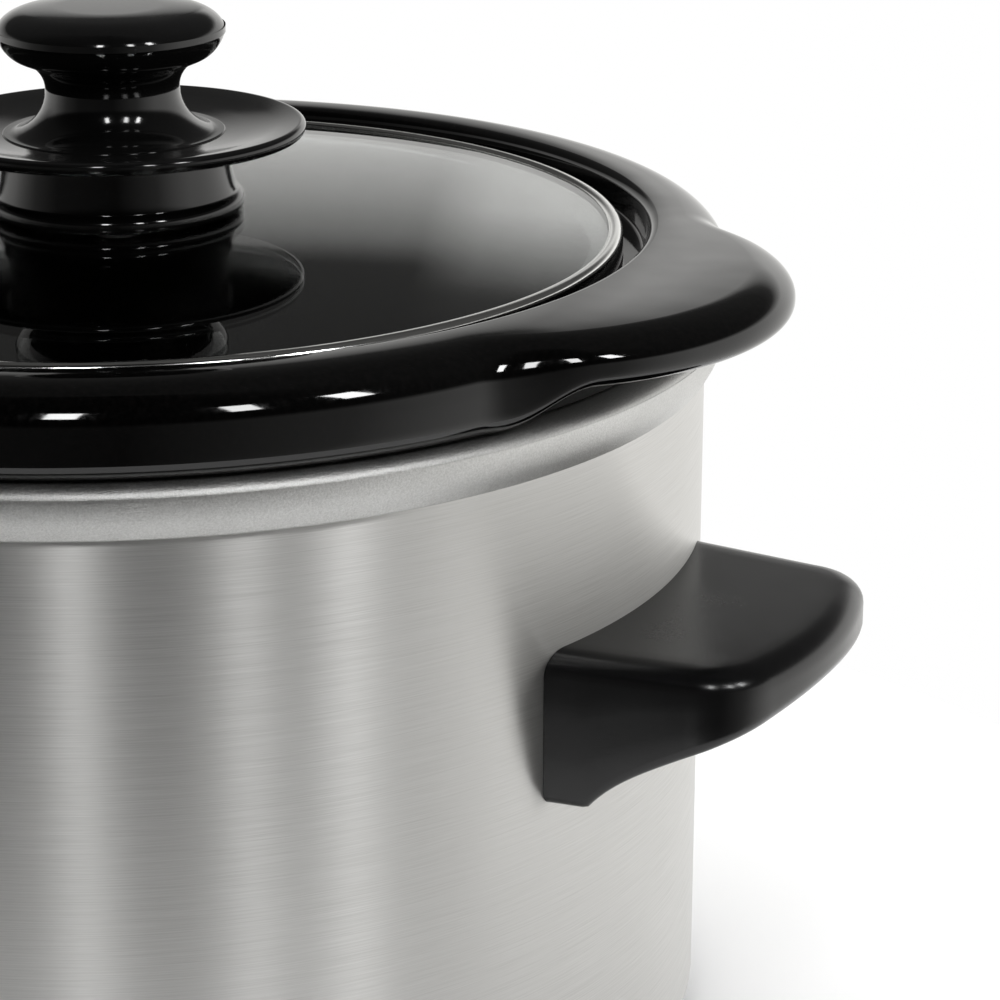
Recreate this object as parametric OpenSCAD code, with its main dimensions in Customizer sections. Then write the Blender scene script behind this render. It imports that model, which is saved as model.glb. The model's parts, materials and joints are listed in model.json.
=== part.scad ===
// Round slow cooker with a lift-out stoneware crock, a glass lid and a rotary heat switch.
// Millimetres, +Z up, origin on the table plane under the centre of the round body.
// The two carrying handles and the crock ears point along X, the control knob faces -Y.

/* [Body] */
// Outer radius of the brushed steel wrap
wrap_radius = 120; // [119:0.5:121]
// Sheet thickness of the wrap
wrap_wall = 0.8; // [0.5:0.1:1]
// Height of the lower edge of the wrap above the table
wrap_bottom = 12; // [11:0.5:13]
// Height of the flange on which the crock lip rests
flange_top = 160; // [158:0.5:162]
// Outer radius of the rolled rim of the heating liner
rim_radius = 124.5; // [123.5:0.5:125.5]
// Height of the rolled rim, from its lower edge to the flange
rim_height = 10.6; // [9:0.2:12]

/* [Heating liner] */
// Inner radius of the liner that surrounds the crock
liner_radius = 103.5; // [103:0.5:104]
// Sheet thickness of the liner
liner_wall = 1; // [0.8:0.1:1]
// Height of the upper face of the liner floor
liner_floor = 32; // [31:0.5:33]
// Radius of the corner between the liner floor and its wall
liner_corner = 14; // [12:0.5:15]
// Lower edge of the heater band
heater_bottom = 64; // [62:0.5:68]
// Width of the heater band
heater_width = 38; // [34:0.5:40]

/* [Crock] */
// Radius of the cooking well at its mouth
crock_mouth_radius = 95; // [93:0.5:96]
// Radius of the cooking well where the floor curve starts
crock_floor_radius = 91; // [89:0.5:91.5]
// Outer radius of the crock wall below the lip
crock_radius = 101; // [100:0.5:101.2]
// Thickness of the crock floor
crock_floor_wall = 7; // [6:0.5:8]
// Gap between the crock and the liner floor
crock_lift = 2.5; // [2:0.5:4]
// Outer radius of the crock lip
lip_radius = 124.4; // [123:0.2:125]
// Height of the crock lip
lip_height = 17; // [16:0.5:18]
// Radius of the lid rebate in the lip
rebate_radius = 108.3; // [107:0.1:109]
// Depth of the lid seat under the top of the lip
rebate_depth = 7; // [6.5:0.5:8]
// Radius of the round ears
ear_radius = 58; // [56:0.5:60]
// Distance from the crock axis to the centre of each ear circle
ear_offset = 85.5; // [84:0.5:87]
// Thickness of the ears
ear_thickness = 9.5; // [8:0.5:10]

/* [Lid] */
// Outer radius of the steel band round the glass
lid_radius = 103; // [102:0.5:104]
// Height of the steel band
lid_rim_height = 5.6; // [5:0.1:6]
// Thickness of the glass
glass_thickness = 4; // [3:0.5:4]
// Rise of the glass at its centre
glass_rise = 4; // [3:0.5:5]

/* [Lid knob] */
// Radius of the finger guard disc
guard_radius = 38.7; // [36:0.1:40]
// Radius of the foot of the knob
knob_foot_radius = 26; // [25:0.5:27]
// Radius of the neck above the guard
knob_neck_radius = 13.5; // [12.5:0.5:14.5]
// Radius of the top of the knob
knob_top_radius = 23; // [21:0.5:25]
// Height of the knob above the centre of the glass
knob_height = 45; // [43:0.5:48]

/* [Handles] */
// Height of the flat top of the handles
handle_top = 114; // [112:0.5:116]
// Distance from the body axis to the tip of a handle
handle_reach = 158; // [155:0.5:162]
// Half width of a handle where it meets the body
handle_half_root = 37.5; // [36:0.5:39]
// Half width of a handle near its tip
handle_half_tip = 34.5; // [33:0.5:36]
// Depth of a handle where it meets the body
handle_root_depth = 30.5; // [29:0.5:32]
// Thickness of a handle at its tip
handle_tip_depth = 8.5; // [8:0.5:10]
// Wall thickness round the hollow underside
handle_wall = 3.2; // [2.8:0.2:3.6]

/* [Controls] */
// Height of the switch axis
switch_height = 45; // [44:0.5:46]
// Radius of the control knob
dial_radius = 19; // [17:0.5:21]
// Depth of the control knob
dial_depth = 14.5; // [13:0.5:16]
// Radius of the dial plate behind the knob
plate_radius = 27; // [26:0.5:29]
// Radius of the switch shaft
shaft_radius = 3; // [2.8:0.1:3.2]

/* [Underside] */
// Radius of each foot at the table
foot_radius = 10; // [9:0.5:12]
// Distance from the body axis to the centre of each foot
foot_circle = 92; // [88:0.5:96]
// Number of feet
foot_count = 4; // [3:1:6]

/* [Hidden] */
$fn = 96;
big = 400;
fine = 360;
wrap_clear = 0.05;

wrap_inner = wrap_radius - wrap_wall;
wrap_top = flange_top - liner_wall;
rim_bottom = flange_top - rim_height;
rim_corner = 4;
rim_foot_radius = wrap_radius + 1.5;
rim_gap = 0.15;
liner_outer = liner_radius + liner_wall;

lip_top = flange_top + lip_height;
seat_z = lip_top - rebate_depth;
crock_bottom = liner_floor + crock_lift;
crock_floor = crock_bottom + crock_floor_wall;
crock_corner = 16;
crock_draft = 3;
crock_foot_radius = 70;
lip_round_top = 8;
lip_round_low = 5;
lip_round_in = 2;
ear_top = lip_top - 0.5;

glass_base = seat_z + 1.2;
glass_radius = lid_radius - 1;
glass_edge_top = glass_base + glass_thickness - 0.4;
glass_top = glass_edge_top + glass_rise;
dome_radius = (glass_radius * glass_radius + glass_rise * glass_rise) / (2 * glass_rise);
screw_hole = 2.6;

guard_z = glass_top + 14.6;
guard_face = guard_z + 0.9;
knob_top = glass_top + knob_height - glass_rise;
knob_screw_radius = 1.75;
knob_screw_end = guard_z + 14;

pan_floor = wrap_bottom + 1;
pan_wall = 1;
pan_flange = 8;
pan_radius = wrap_inner - 0.1;
stud_radius = 3;
stud_hole = stud_radius + 0.4;
stud_low = 4.5;
stud_pad_radius = 9;
stud_pad = 1.55;
nut_height = 4.95;
washer_height = 1.25;
reflector_z = 24;
reflector_radius = 98;
reflector_wall = 0.8;

foot_collar = 3;
foot_flare = 2;
foot_angle = 45;
foot_screw_hole = 2.2;
foot_screw_radius = 1.9;
foot_head_radius = 4.2;
foot_head_z = 1.6;
foot_seat_z = 4;

setting_count = 4;
mark_height = 0.4;
switch_half = 12;
switch_back = 107;
switch_front = 118;
bushing_radius = 4.7;
shaft_bore = shaft_radius + 0.06;
plate_face = wrap_radius + 2.5;
nut_face = plate_face + 2.2;
dial_back = plate_face + 0.8;
dial_front = dial_back + dial_depth;
shaft_end = dial_front - 4;
flat_depth = 1;

gland_z = 30;
gland_radius = 6;
gland_bore = 3.6;
gland_reach = 14.5;

heater_inner = liner_outer + 0.1;
heater_outer = heater_inner + 3;
heater_gap_angle = 12;
terminal_angle = heater_gap_angle + 5;
strap_inner = heater_outer + 0.1;
strap_thickness = 0.8;
strap_width = 6;
strap_z = [heater_bottom + 4, heater_bottom + heater_width - 4 - strap_width];
clamp_screw_y = heater_outer + 4.4;
clamp_screw_radius = 1.3;
terminal_stand = 2;
tab_width = 6.2;
tab_wall = 0.8;
tab_drop = 16;

fuse_angle = 55;
fuse_radius = 2.2;
fuse_length = 11;
fuse_z = 47;
fuse_distance = liner_outer + 3.2;

lead_radius = 1.4;
lead_pitch = 1.9;
lead_low = 18.5;
gland_face = wrap_radius + 2;
switch_tab_y = -switch_back - 3.6;
switch_tab_z = switch_height - switch_half - 6.1;
tab_radius = heater_outer + terminal_stand + tab_wall / 2;
heater_tab_x = tab_radius * sin(terminal_angle);
heater_tab_y = tab_radius * cos(terminal_angle);
heater_tab_z = heater_bottom + heater_width / 2 - tab_drop - 0.1;

handle_corner = 12;
handle_bow = 3.5;
handle_screw_y = 18;
handle_screw_z = handle_top - 15;
handle_screw_radius = 1.8;
handle_screw_end = wrap_radius + 4.4;
screw_head_radius = 3.6;
screw_head = 2.5;

// A plain round tube standing on z
module tube(outer, inner, z0, z1) {
    difference() {
        translate([0, 0, z0])
            cylinder(r = outer, h = z1 - z0);
        translate([0, 0, z0 - 1])
            cylinder(r = inner, h = z1 - z0 + 2);
    }
}

// A cylinder along -Y from one distance to another, at the height z
module front_rod(radius, from, to, z = switch_height, x = 0) {
    translate([x, -from, z])
        rotate([90, 0, 0])
            cylinder(r = radius, h = to - from);
}

// A cylinder along +Y from one distance to another
module back_rod(radius, from, to, z = gland_z, x = 0) {
    translate([x, to, z])
        rotate([90, 0, 0])
            cylinder(r = radius, h = to - from);
}

// Rounded half section of a pan, from its axis to the radius r
module pan_section(r, floor_z, top_z, corner) {
    translate([0, floor_z + corner])
        square([r, top_z - floor_z - corner]);
    translate([0, floor_z])
        square([r - corner, corner + 1]);
    translate([r - corner, floor_z + corner])
        circle(corner);
}

// ---------------------------------------------------------------- body

module body_wrap() {
    color([0.75, 0.75, 0.74])
    difference() {
        tube(wrap_radius, wrap_inner, wrap_bottom, wrap_top);
        front_rod(bushing_radius + 0.3, wrap_radius - 20, wrap_radius + 5);
        back_rod(gland_radius + 0.3, wrap_radius - 20, wrap_radius + 5);
        for (side = [-1, 1])
            for (y = [-handle_screw_y, handle_screw_y])
                translate([side * wrap_radius - 20, y, handle_screw_z])
                    rotate([0, 90, 0])
                        cylinder(r = handle_screw_radius + 0.4, h = 40);
    }
}

// Rolled rim: flange, rounded shoulder, and a skirt that tapers in towards the wrap
module rim_section(inset) {
    r = rim_radius - inset;
    polygon([[0, rim_bottom], [rim_foot_radius - inset, rim_bottom],
        [r, flange_top - rim_corner], [r - rim_corner + inset, flange_top - inset],
        [0, flange_top - inset]]);
    translate([rim_radius - rim_corner, flange_top - rim_corner])
        circle(rim_corner - inset);
}

module liner_section() {
    difference() {
        union() {
            pan_section(liner_outer, liner_floor - liner_wall, flange_top, liner_corner + liner_wall);
            rim_section(0);
        }
        pan_section(liner_radius, liner_floor, flange_top + 1, liner_corner);
        difference() {
            intersection() {
                rim_section(liner_wall);
                translate([liner_outer, rim_bottom - 1])
                    square([rim_radius, rim_height]);
            }
            translate([wrap_radius + rim_gap, rim_bottom - 1])
                square([rim_radius, 1 + liner_wall]);
        }
    }
}

module heating_liner() {
    color([0.68, 0.68, 0.67])
    rotate_extrude()
        liner_section();
}

// Places its children at the centre of every foot
module at_each_foot() {
    for (i = [0 : foot_count - 1])
        rotate([0, 0, foot_angle + i * 360 / foot_count])
            translate([foot_circle, 0, 0])
                children();
}

// Pressed pan that closes the underside, with a ring of vent slots
module base_pan() {
    vent_count = 12;
    vent_length = 18;
    vent_width = 4;
    color([0.12, 0.12, 0.12])
    difference() {
        union() {
            translate([0, 0, pan_floor])
                cylinder(r = pan_radius, h = pan_wall);
            tube(pan_radius, pan_radius - pan_wall, pan_floor, pan_floor + pan_flange);
            tube(16, stud_hole, pan_floor, pan_floor + 3);
        }
        translate([0, 0, pan_floor - 1])
            cylinder(r = stud_hole, h = 10);
        at_each_foot()
            translate([0, 0, pan_floor - 1])
                cylinder(r = foot_screw_hole, h = 10);
        for (i = [0 : vent_count - 1])
            rotate([0, 0, (i + 0.5) * 360 / vent_count])
                translate([50, -vent_width / 2, pan_floor - 1])
                    cube([vent_length, vent_width, 10]);
    }
}

// Moulded feet under the base pan, each counterbored for its screw
module feet() {
    color([0.06, 0.06, 0.06])
    at_each_foot()
        difference() {
            union() {
                cylinder(r1 = foot_radius, r2 = foot_radius + foot_flare, h = pan_floor - foot_collar);
                translate([0, 0, pan_floor - foot_collar])
                    cylinder(r = foot_radius + foot_flare, h = foot_collar);
            }
            translate([0, 0, -1])
                cylinder(r = foot_head_radius + 0.8, h = foot_seat_z + 1);
            cylinder(r = foot_screw_hole, h = big);
        }
}

module foot_screws() {
    slot_width = 1;
    slot_length = 5.2;
    color([0.7, 0.7, 0.7])
    at_each_foot() {
        difference() {
            translate([0, 0, foot_head_z])
                cylinder(r = foot_head_radius, h = foot_seat_z - foot_head_z);
            for (a = [0, 90])
                rotate([0, 0, a])
                    translate([-slot_length / 2, -slot_width / 2, foot_head_z - 1])
                        cube([slot_length, slot_width, 2]);
        }
        translate([0, 0, foot_seat_z])
            cylinder(r = foot_screw_radius, h = pan_floor + 2);
    }
}

// Bright disc that turns heat back towards the crock, with two stiffening rings
module heat_reflector() {
    ring_height = 2;
    edge_height = 4;
    color([0.78, 0.78, 0.78])
    difference() {
        union() {
            translate([0, 0, reflector_z])
                cylinder(r = reflector_radius, h = reflector_wall);
            tube(reflector_radius, reflector_radius - reflector_wall, reflector_z,
                reflector_z + edge_height);
            for (r = [30, 60])
                tube(r, r - 1, reflector_z, reflector_z + ring_height);
        }
        translate([0, 0, reflector_z - 1])
            cylinder(r = stud_hole, h = 10);
    }
}

// ---------------------------------------------------------------- heating parts

// Wedge that leaves the gap between the two ends of a band, at the back of the liner
module band_gap(half_angle) {
    rotate([0, 0, 90 - half_angle])
        linear_extrude(height = big)
            polygon([[0, 0], [big, 0], [big * cos(2 * half_angle), big * sin(2 * half_angle)]]);
}

module heater_band() {
    color([0.62, 0.58, 0.5])
    difference() {
        tube(heater_outer, heater_inner, heater_bottom, heater_bottom + heater_width);
        band_gap(heater_gap_angle);
    }
}

// Two straps round the heater band, each drawn together by a screw across the gap
module band_clamps() {
    lug_length = 7;
    lug_wall = 1.6;
    lug_angle = heater_gap_angle - 8;
    color([0.72, 0.72, 0.7])
    for (z = strap_z)
        difference() {
            union() {
                tube(strap_inner + strap_thickness, strap_inner, z, z + strap_width);
                for (side = [-1, 1])
                    rotate([0, 0, 90 + side * lug_angle])
                        translate([strap_inner + 0.2, -lug_wall / 2, z])
                            cube([lug_length, lug_wall, strap_width]);
            }
            intersection() {
                band_gap(heater_gap_angle - 9);
                tube(heater_outer + 8, heater_outer - 1, z - 1, z + strap_width + 1);
            }
            translate([-20, clamp_screw_y, z + strap_width / 2])
                rotate([0, 90, 0])
                    cylinder(r = clamp_screw_radius + 0.1, h = 40);
        }
}

module clamp_screws() {
    head_x = -13;
    nut_x = 9.4;
    length = 24;
    cap = 2;
    color([0.75, 0.75, 0.75])
    for (z = strap_z)
        translate([head_x, clamp_screw_y, z + strap_width / 2])
            rotate([0, 90, 0]) {
                cylinder(r = clamp_screw_radius, h = length);
                cylinder(r = 2 * clamp_screw_radius, h = cap);
                translate([0, 0, nut_x - head_x])
                    cylinder(r = 2.7, h = cap, $fn = 6);
            }
}

// Two spade terminals on the heater band, one each side of the gap
module element_terminals() {
    rivet_radius = 3;
    color([0.8, 0.68, 0.35])
    for (side = [-1, 1])
        rotate([0, 0, 90 + side * terminal_angle])
            translate([heater_outer, 0, heater_bottom + heater_width / 2]) {
                rotate([0, 90, 0])
                    cylinder(r = rivet_radius, h = terminal_stand);
                translate([terminal_stand, -tab_width / 2, -tab_drop])
                    cube([tab_wall, tab_width, tab_drop + rivet_radius]);
            }
}

// Thermal fuse standing against the liner wall under the heater band
module thermal_fuse() {
    pin_reach = 4;
    color([0.8, 0.8, 0.78])
    rotate([0, 0, fuse_angle])
        translate([fuse_distance, 0, fuse_z]) {
            cylinder(r = fuse_radius, h = fuse_length);
            translate([0, 0, -pin_reach])
                cylinder(r = 0.6, h = fuse_length + 2 * pin_reach - 1);
        }
}

// Spring clip that holds the fuse between two prongs
module fuse_clip() {
    half = 4.5;
    wall = 0.8;
    clip_z = fuse_z + 3;
    clip_height = 5;
    prong = half - fuse_radius - 0.1;
    color([0.7, 0.7, 0.7])
    rotate([0, 0, fuse_angle])
        difference() {
            translate([liner_outer + 0.1, -half, clip_z])
                cube([6.2, 2 * half, clip_height]);
            translate([fuse_distance, 0, clip_z - 1])
                cylinder(r = fuse_radius + 0.05, h = clip_height + 2);
            for (y = [-half - 1, half - prong])
                translate([liner_outer + 0.1 + wall, y, clip_z - 1])
                    cube([6, prong + 1, clip_height + 2]);
            cylinder(r = liner_outer + 0.05, h = big, $fn = fine);
        }
}

// Stud welded under the liner floor; it pulls the base pan up against the wrap
module center_stud() {
    top = liner_floor - liner_wall - 0.05;
    color([0.7, 0.7, 0.7]) {
        translate([0, 0, stud_low])
            cylinder(r = stud_radius, h = top - stud_low);
        translate([0, 0, top - stud_pad])
            cylinder(r = stud_pad_radius, h = stud_pad);
    }
}

module center_washer() {
    color([0.75, 0.75, 0.75])
    tube(9, stud_radius + 0.3, pan_floor - 0.05 - washer_height, pan_floor - 0.05);
}

module center_nut() {
    color([0.72, 0.72, 0.7])
    difference() {
        translate([0, 0, pan_floor - 0.1 - washer_height - nut_height])
            cylinder(r = 6, h = nut_height, $fn = 6);
        cylinder(r = stud_radius + 0.05, h = big);
    }
}

// ---------------------------------------------------------------- handles

// Plan outline of one handle pointing along +X, drawn a distance inside its outer edge
module handle_plan(inset = 0) {
    half_root = handle_half_root - inset;
    half_tip = handle_half_tip - inset;
    reach = handle_reach - inset;
    corner = handle_corner - inset;
    near = wrap_radius - 30;
    corner_x = reach - corner - handle_bow;
    bow_radius = 80;
    bow_half = half_tip - corner * 0.58;
    polygon([[near, -half_root], [corner_x, -half_tip], [corner_x, half_tip], [near, half_root]]);
    for (side = [-1, 1])
        translate([corner_x, side * (half_tip - corner)])
            circle(corner);
    intersection() {
        translate([reach - bow_radius, 0])
            circle(bow_radius);
        translate([reach - 40, -bow_half])
            square([40, 2 * bow_half]);
    }
}

// Side outline of one handle: deep at the body, thin at the tip
module handle_side() {
    foot = handle_top - handle_root_depth;
    knee = wrap_radius + 3;
    tip_low = handle_top - handle_tip_depth;
    slope = (tip_low - foot) / (handle_reach - knee);
    polygon([[wrap_radius - 20, handle_top], [handle_reach + 1, handle_top],
        [handle_reach + 1, tip_low + slope], [knee, foot], [wrap_radius - 20, foot]]);
}

// Hollow of the underside, open downwards for the fingertips
module handle_recess() {
    intersection() {
        translate([0, 0, handle_top - handle_root_depth - 10])
            linear_extrude(height = handle_root_depth + 10 - handle_wall)
                handle_plan(handle_wall);
        translate([wrap_radius + 5, -big / 2, 0])
            cube([big, big, big]);
    }
}

module handle_body() {
    difference() {
        intersection() {
            translate([0, 0, handle_top - handle_root_depth])
                linear_extrude(height = handle_root_depth)
                    handle_plan();
            translate([0, handle_half_root + 5, 0])
                rotate([90, 0, 0])
                    linear_extrude(height = 2 * handle_half_root + 10)
                        handle_side();
        }
        handle_recess();
        cylinder(r = wrap_radius + wrap_clear, h = big, $fn = fine);
        for (y = [-handle_screw_y, handle_screw_y])
            translate([0, y, handle_screw_z])
                rotate([0, 90, 0])
                    cylinder(r = handle_screw_radius + 0.1, h = handle_screw_end + 0.3);
    }
}

module handle_right() {
    color([0.08, 0.08, 0.08])
    handle_body();
}

module handle_left() {
    color([0.08, 0.08, 0.08])
    rotate([0, 0, 180])
        handle_body();
}

module handle_screws() {
    color([0.7, 0.7, 0.7])
    for (turn = [0, 180])
        rotate([0, 0, turn])
            for (y = [-handle_screw_y, handle_screw_y])
                translate([0, y, handle_screw_z])
                    rotate([0, 90, 0]) {
                        translate([0, 0, wrap_inner - 5.2])
                            cylinder(r = screw_head_radius, h = screw_head);
                        translate([0, 0, wrap_inner - 3])
                            cylinder(r = handle_screw_radius, h = handle_screw_end - wrap_inner + 3);
                    }
}

// ---------------------------------------------------------------- controls

// Flat-faced dial plate shaped to the round wrap, with a raised mark at each setting
module dial_plate() {
    mark_radius = 1;
    color([0.07, 0.07, 0.07])
    difference() {
        union() {
            front_rod(plate_radius, wrap_radius - 8, plate_face);
            for (a = [0 : 180 / (setting_count - 1) : 180])
                rotate_about_shaft(a)
                    front_rod(mark_radius, plate_face - 1, plate_face + mark_height,
                        switch_height + plate_radius - 3);
        }
        cylinder(r = wrap_radius + wrap_clear, h = big, $fn = fine);
        front_rod(bushing_radius + 0.1, wrap_radius - 20, wrap_radius + 20);
    }
}

// Turns its children about the switch axis
module rotate_about_shaft(angle) {
    translate([0, 0, switch_height])
        rotate([0, angle, 0])
            translate([0, 0, -switch_height])
                children();
}

module rotary_switch() {
    rivet_radius = 1.5;
    rivet_place = switch_half - 3;
    color([0.85, 0.83, 0.76])
    difference() {
        union() {
            translate([-switch_half, -switch_front, switch_height - switch_half])
                cube([2 * switch_half, switch_front - switch_back, 2 * switch_half]);
            front_rod(bushing_radius, switch_front - 1, nut_face + 1);
        }
        front_rod(shaft_bore, switch_back + 2, nut_face + 5);
        for (side = [-1, 1])
            for (end = [-1, 1])
                front_rod(rivet_radius, switch_back - 1, switch_back + 2,
                    switch_height + end * rivet_place, side * rivet_place);
    }
}

module switch_nut() {
    back = plate_face + 0.02;
    color([0.75, 0.75, 0.75])
    difference() {
        translate([0, -back, switch_height])
            rotate([90, 0, 0])
                cylinder(r = 7.6, h = nut_face - back, $fn = 6);
        front_rod(bushing_radius + 0.02, wrap_radius - 5, wrap_radius + 10);
    }
}

// Space over the flat of a D-shaped shaft; a gap lifts the flat inside the knob
module shaft_flat(gap = 0) {
    translate([-shaft_radius, -shaft_end - 1, switch_height + shaft_radius - flat_depth + gap])
        cube([2 * shaft_radius, 11, shaft_radius]);
}

module switch_shaft() {
    color([0.72, 0.72, 0.72])
    difference() {
        front_rod(shaft_radius, switch_back + 2.5, shaft_end);
        shaft_flat();
    }
}

module switch_terminals() {
    width = 4.4;
    color([0.8, 0.68, 0.35])
    for (x = [-7, 0, 7])
        translate([x - width / 2, switch_tab_y - tab_wall / 2, switch_height - switch_half - 6])
            cube([width, tab_wall, 6]);
}

// Turning knob with a skirt, a fluted edge, a grip bar and a pointer rib
module control_knob() {
    skirt = 5;
    drum = dial_radius - 3;
    bar = 6.4;
    bar_end = dial_radius - 3.4;
    hub = shaft_radius + 2.4;
    flute = 0.9;
    hub_back = nut_face + 1.6;
    color([0.05, 0.05, 0.05])
    difference() {
        union() {
            front_rod(dial_radius, dial_back, dial_back + skirt);
            front_rod(drum, dial_back + skirt - 1, dial_front - 1.5);
            translate([-bar / 2, -dial_front, switch_height - bar_end])
                cube([bar, dial_depth - 4, 2 * bar_end]);
            translate([-0.8, -dial_back - skirt - 0.6, switch_height + dial_radius - 6])
                cube([1.6, 4, 5]);
        }
        difference() {
            front_rod(dial_radius - 5, dial_back - 1, dial_back + 3.5);
            front_rod(hub, hub_back, dial_back + 5);
        }
        front_rod(9.5, dial_back - 1, hub_back);
        difference() {
            front_rod(shaft_radius + 0.02, dial_back - 1, shaft_end + 0.02);
            shaft_flat(0.02);
        }
        for (i = [0 : 23])
            if (abs(sin(i * 15)) > 0.3)
                rotate_about_shaft(i * 15)
                    front_rod(flute, dial_back + skirt + 1, dial_front,
                        switch_height + drum + 0.3);
    }
}

// Strain-relief gland in the back of the wrap; the supply cord is not modelled
module cord_gland() {
    flange = gland_radius + 2.5;
    color([0.05, 0.05, 0.05])
    difference() {
        union() {
            back_rod(gland_radius, wrap_inner - 5, wrap_radius + gland_reach);
            difference() {
                back_rod(flange, wrap_radius - 3, wrap_radius + 4);
                cylinder(r = wrap_radius + wrap_clear, h = big, $fn = fine);
            }
            intersection() {
                back_rod(flange, wrap_inner - 4, wrap_radius + 1);
                cylinder(r = wrap_inner - wrap_clear, h = big, $fn = fine);
            }
        }
        back_rod(gland_bore, wrap_radius - 20, wrap_radius + 20);
    }
}

// Round lead built from straight runs along the axes, with a ball at each corner
module lead(points) {
    for (i = [0 : len(points) - 2])
        run(points[i], points[i + 1]);
    for (i = [1 : len(points) - 2])
        translate(points[i])
            sphere(r = lead_radius + 0.1);
}

// Straight run between two points that differ along one axis
module run(from, to) {
    low = [min(from[0], to[0]), min(from[1], to[1]), min(from[2], to[2])];
    step = to - from;
    turn = step[0] != 0 ? [0, 90, 0] : (step[1] != 0 ? [-90, 0, 0] : [0, 0, 0]);
    translate(low)
        rotate(turn)
            cylinder(r = lead_radius, h = norm(step));
}

// Internal leads: gland to switch, switch to one heater terminal, gland to the other
module lead_wires() {
    color([0.5, 0.08, 0.06]) {
        lead([[-lead_pitch, gland_face, gland_z], [-lead_pitch, 106, gland_z],
            [-lead_pitch, 106, lead_low], [-7, 106, lead_low], [-7, switch_tab_y, lead_low],
            [-7, switch_tab_y, switch_tab_z]]);
        lead([[7, switch_tab_y, switch_tab_z], [7, switch_tab_y, lead_low],
            [7, heater_tab_y, lead_low], [heater_tab_x, heater_tab_y, lead_low],
            [heater_tab_x, heater_tab_y, heater_tab_z]]);
        lead([[lead_pitch, gland_face, gland_z], [lead_pitch, 112, gland_z],
            [lead_pitch, 112, 38], [-heater_tab_x, 112, 38], [-heater_tab_x, heater_tab_y, 38],
            [-heater_tab_x, heater_tab_y, heater_tab_z]]);
    }
}

// ---------------------------------------------------------------- crock

module lip_section() {
    translate([lip_radius - lip_round_top, lip_top - lip_round_top])
        circle(lip_round_top);
    translate([lip_radius - lip_round_low, flange_top + lip_round_low])
        circle(lip_round_low);
    translate([rebate_radius + lip_round_in, lip_top - lip_round_in])
        circle(lip_round_in);
    polygon([[0, flange_top], [lip_radius - lip_round_low, flange_top],
        [lip_radius, flange_top + lip_round_low], [lip_radius, lip_top - lip_round_top],
        [lip_radius - lip_round_top, lip_top], [rebate_radius + lip_round_in, lip_top],
        [rebate_radius, lip_top - lip_round_in], [rebate_radius, seat_z], [0, seat_z]]);
}

module crock_outer_section() {
    lip_section();
    base_radius = crock_radius - crock_draft;
    polygon([[0, crock_bottom], [base_radius - crock_corner, crock_bottom],
        [base_radius, crock_bottom + crock_corner], [crock_radius, flange_top + 1],
        [0, flange_top + 1]]);
    translate([base_radius - crock_corner, crock_bottom + crock_corner])
        circle(crock_corner);
}

module crock_well_section() {
    polygon([[0, crock_floor], [crock_floor_radius - crock_corner, crock_floor],
        [crock_floor_radius, crock_floor + crock_corner], [crock_mouth_radius, seat_z - 2],
        [crock_mouth_radius + 1.4, seat_z + 1], [0, seat_z + 1]]);
    translate([crock_floor_radius - crock_corner, crock_floor + crock_corner])
        circle(crock_corner);
    translate([0, seat_z])
        square([rebate_radius, lip_height]);
}

// One ear with a fully rounded edge, standing out over the rolled rim
module ear(side) {
    edge = ear_thickness / 2;
    translate([side * ear_offset, 0, ear_top - ear_thickness])
        rotate_extrude() {
            square([ear_radius - edge, ear_thickness]);
            translate([ear_radius - edge, edge])
                circle(edge);
        }
}

module crock() {
    color([0.03, 0.03, 0.03])
    difference() {
        union() {
            rotate_extrude()
                crock_outer_section();
            for (side = [-1, 1])
                difference() {
                    ear(side);
                    cylinder(r = crock_radius - 2, h = big);
                }
        }
        rotate_extrude()
            crock_well_section();
        translate([0, 0, lip_top - 1])
            cylinder(r = rebate_radius, h = big);
        translate([0, 0, crock_bottom - 1])
            cylinder(r = crock_foot_radius, h = 2);
    }
}

// ---------------------------------------------------------------- lid

module glass_lid() {
    color([0.75, 0.85, 0.82, 0.35])
    difference() {
        intersection() {
            translate([0, 0, glass_base])
                cylinder(r = glass_radius, h = 20);
            translate([0, 0, glass_top - dome_radius])
                sphere(r = dome_radius, $fn = 360);
        }
        translate([0, 0, glass_top - dome_radius - glass_thickness])
            sphere(r = dome_radius, $fn = 360);
        translate([0, 0, glass_base - 1])
            cylinder(r = screw_hole + 0.4, h = 40);
    }
}

// Formed band with rounded edges, gripping the edge of the glass
module lid_rim() {
    round_edge = 1.4;
    inner = glass_radius - 1.8;
    groove = glass_base - 0.1;
    color([0.8, 0.8, 0.79])
    rotate_extrude()
        difference() {
            union() {
                translate([lid_radius - round_edge, seat_z])
                    square([round_edge, lid_rim_height - round_edge]);
                translate([inner, seat_z])
                    square([lid_radius - round_edge - inner, lid_rim_height]);
                translate([lid_radius - round_edge, seat_z + lid_rim_height - round_edge])
                    circle(round_edge);
            }
            translate([inner - 1, groove])
                square([glass_radius + 0.05 - inner + 1, glass_edge_top + 0.25 - groove]);
            translate([inner, seat_z - 1])
                square([0.8, 2.4]);
        }
}

// Foot of the lid knob, widening towards the glass, with a bead at its lower edge
module knob_foot() {
    bead = 1.5;
    guard_low = guard_z - 1.4;
    color([0.04, 0.04, 0.04])
    difference() {
        rotate_extrude() {
            polygon([[0, glass_top + bead], [knob_foot_radius - 1, glass_top + bead],
                [knob_foot_radius - 2.6, glass_top + 11], [knob_foot_radius - 4, guard_low],
                [0, guard_low]]);
            translate([knob_foot_radius - bead, glass_top + bead + 0.05])
                circle(bead);
            translate([0, glass_top + 0.05])
                square([knob_foot_radius - bead, 2]);
        }
        translate([0, 0, glass_top - 1])
            cylinder(r = knob_foot_radius - 5, h = 9);
        cylinder(r = screw_hole, h = big);
    }
}

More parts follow.
